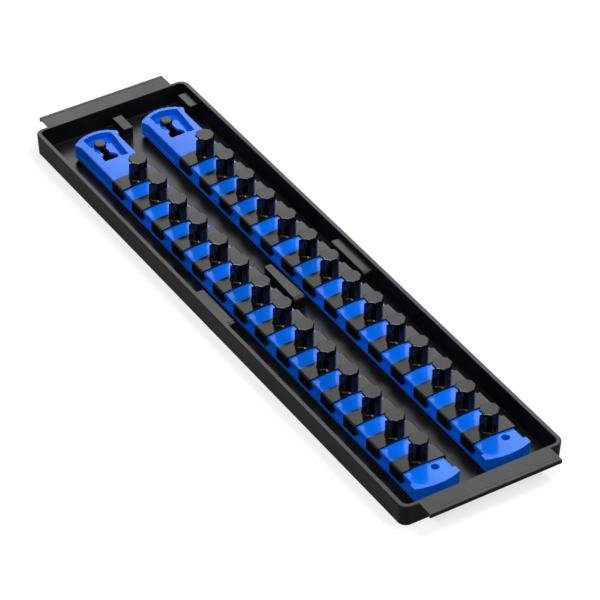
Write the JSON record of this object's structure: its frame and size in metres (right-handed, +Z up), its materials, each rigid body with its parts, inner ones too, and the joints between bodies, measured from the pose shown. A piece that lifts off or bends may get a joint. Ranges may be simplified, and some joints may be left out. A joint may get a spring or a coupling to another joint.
{
  "type": "socket organizer tray",
  "caption": "Shallow tray with finger lips, holding removable rails of sliding clips whose octagonal posts take square-drive sockets.",
  "frame": {"origin": "centre of the tray's footprint, on its underside", "axes": "+X across the tray to the right, +Y along it to the keyhole end of the rails, +Z up"},
  "size_m": [0.1262, 0.5088, 0.0341],
  "materials": {
    "black_tray_plastic": "satin moulded",
    "blue_rail_plastic": "satin moulded",
    "black_clip_plastic": "satin moulded"
  },
  "bodies": {
    "tray": {"tray": "black_tray_plastic"},
    "rail_left": {"rail_left": "blue_rail_plastic"},
    "rail_right": {"rail_right": "blue_rail_plastic"},
    "clip_left_01": {"clip_left_01": "black_clip_plastic"},
    "clip_left_02": {"clip_left_02": "black_clip_plastic"},
    "clip_left_03": {"clip_left_03": "black_clip_plastic"},
    "clip_left_04": {"clip_left_04": "black_clip_plastic"},
    "clip_left_05": {"clip_left_05": "black_clip_plastic"},
    "clip_left_06": {"clip_left_06": "black_clip_plastic"},
    "clip_left_07": {"clip_left_07": "black_clip_plastic"},
    "clip_left_08": {"clip_left_08": "black_clip_plastic"},
    "clip_left_09": {"clip_left_09": "black_clip_plastic"},
    "clip_left_10": {"clip_left_10": "black_clip_plastic"},
    "clip_left_11": {"clip_left_11": "black_clip_plastic"},
    "clip_left_12": {"clip_left_12": "black_clip_plastic"},
    "clip_left_13": {"clip_left_13": "black_clip_plastic"},
    "clip_left_14": {"clip_left_14": "black_clip_plastic"},
    "clip_right_01": {"clip_right_01": "black_clip_plastic"},
    "clip_right_02": {"clip_right_02": "black_clip_plastic"},
    "clip_right_03": {"clip_right_03": "black_clip_plastic"},
    "clip_right_04": {"clip_right_04": "black_clip_plastic"},
    "clip_right_05": {"clip_right_05": "black_clip_plastic"},
    "clip_right_06": {"clip_right_06": "black_clip_plastic"},
    "clip_right_07": {"clip_right_07": "black_clip_plastic"},
    "clip_right_08": {"clip_right_08": "black_clip_plastic"},
    "clip_right_09": {"clip_right_09": "black_clip_plastic"},
    "clip_right_10": {"clip_right_10": "black_clip_plastic"},
    "clip_right_11": {"clip_right_11": "black_clip_plastic"},
    "clip_right_12": {"clip_right_12": "black_clip_plastic"},
    "clip_right_13": {"clip_right_13": "black_clip_plastic"},
    "clip_right_14": {"clip_right_14": "black_clip_plastic"}
  },
  "joints": [
    {"name": "rail_left_unlock", "type": "slide", "parent": "tray", "child": "rail_left", "axis": [0, 1, 0], "range_m": [0, 0.0151]},
    {"name": "rail_right_unlock", "type": "slide", "parent": "tray", "child": "rail_right", "axis": [0, 1, 0], "range_m": [0, 0.0151]},
    {"name": "clip_left_01_slide", "type": "slide", "parent": "rail_left", "child": "clip_left_01", "axis": [0, 1, 0], "range_m": [-0.007, 0.007]},
    {"name": "clip_left_02_slide", "type": "slide", "parent": "rail_left", "child": "clip_left_02", "axis": [0, 1, 0], "range_m": [-0.007, 0.007]},
    {"name": "clip_left_03_slide", "type": "slide", "parent": "rail_left", "child": "clip_left_03", "axis": [0, 1, 0], "range_m": [-0.007, 0.007]},
    {"name": "clip_left_04_slide", "type": "slide", "parent": "rail_left", "child": "clip_left_04", "axis": [0, 1, 0], "range_m": [-0.007, 0.007]},
    {"name": "clip_left_05_slide", "type": "slide", "parent": "rail_left", "child": "clip_left_05", "axis": [0, 1, 0], "range_m": [-0.007, 0.007]},
    {"name": "clip_left_06_slide", "type": "slide", "parent": "rail_left", "child": "clip_left_06", "axis": [0, 1, 0], "range_m": [-0.007, 0.007]},
    {"name": "clip_left_07_slide", "type": "slide", "parent": "rail_left", "child": "clip_left_07", "axis": [0, 1, 0], "range_m": [-0.007, 0.007]},
    {"name": "clip_left_08_slide", "type": "slide", "parent": "rail_left", "child": "clip_left_08", "axis": [0, 1, 0], "range_m": [-0.007, 0.007]},
    {"name": "clip_left_09_slide", "type": "slide", "parent": "rail_left", "child": "clip_left_09", "axis": [0, 1, 0], "range_m": [-0.007, 0.007]},
    {"name": "clip_left_10_slide", "type": "slide", "parent": "rail_left", "child": "clip_left_10", "axis": [0, 1, 0], "range_m": [-0.007, 0.007]},
    {"name": "clip_left_11_slide", "type": "slide", "parent": "rail_left", "child": "clip_left_11", "axis": [0, 1, 0], "range_m": [-0.007, 0.007]},
    {"name": "clip_left_12_slide", "type": "slide", "parent": "rail_left", "child": "clip_left_12", "axis": [0, 1, 0], "range_m": [-0.007, 0.007]},
    {"name": "clip_left_13_slide", "type": "slide", "parent": "rail_left", "child": "clip_left_13", "axis": [0, 1, 0], "range_m": [-0.007, 0.007]},
    {"name": "clip_left_14_slide", "type": "slide", "parent": "rail_left", "child": "clip_left_14", "axis": [0, 1, 0], "range_m": [-0.007, 0.007]},
    {"name": "clip_right_01_slide", "type": "slide", "parent": "rail_right", "child": "clip_right_01", "axis": [0, 1, 0], "range_m": [-0.007, 0.007]},
    {"name": "clip_right_02_slide", "type": "slide", "parent": "rail_right", "child": "clip_right_02", "axis": [0, 1, 0], "range_m": [-0.007, 0.007]},
    {"name": "clip_right_03_slide", "type": "slide", "parent": "rail_right", "child": "clip_right_03", "axis": [0, 1, 0], "range_m": [-0.007, 0.007]},
    {"name": "clip_right_04_slide", "type": "slide", "parent": "rail_right", "child": "clip_right_04", "axis": [0, 1, 0], "range_m": [-0.007, 0.007]},
    {"name": "clip_right_05_slide", "type": "slide", "parent": "rail_right", "child": "clip_right_05", "axis": [0, 1, 0], "range_m": [-0.007, 0.007]},
    {"name": "clip_right_06_slide", "type": "slide", "parent": "rail_right", "child": "clip_right_06", "axis": [0, 1, 0], "range_m": [-0.007, 0.007]},
    {"name": "clip_right_07_slide", "type": "slide", "parent": "rail_right", "child": "clip_right_07", "axis": [0, 1, 0], "range_m": [-0.007, 0.007]},
    {"name": "clip_right_08_slide", "type": "slide", "parent": "rail_right", "child": "clip_right_08", "axis": [0, 1, 0], "range_m": [-0.007, 0.007]},
    {"name": "clip_right_09_slide", "type": "slide", "parent": "rail_right", "child": "clip_right_09", "axis": [0, 1, 0], "range_m": [-0.007, 0.007]},
    {"name": "clip_right_10_slide", "type": "slide", "parent": "rail_right", "child": "clip_right_10", "axis": [0, 1, 0], "range_m": [-0.007, 0.007]},
    {"name": "clip_right_11_slide", "type": "slide", "parent": "rail_right", "child": "clip_right_11", "axis": [0, 1, 0], "range_m": [-0.007, 0.007]},
    {"name": "clip_right_12_slide", "type": "slide", "parent": "rail_right", "child": "clip_right_12", "axis": [0, 1, 0], "range_m": [-0.007, 0.007]},
    {"name": "clip_right_13_slide", "type": "slide", "parent": "rail_right", "child": "clip_right_13", "axis": [0, 1, 0], "range_m": [-0.007, 0.007]},
    {"name": "clip_right_14_slide", "type": "slide", "parent": "rail_right", "child": "clip_right_14", "axis": [0, 1, 0], "range_m": [-0.007, 0.007]}
  ]
}
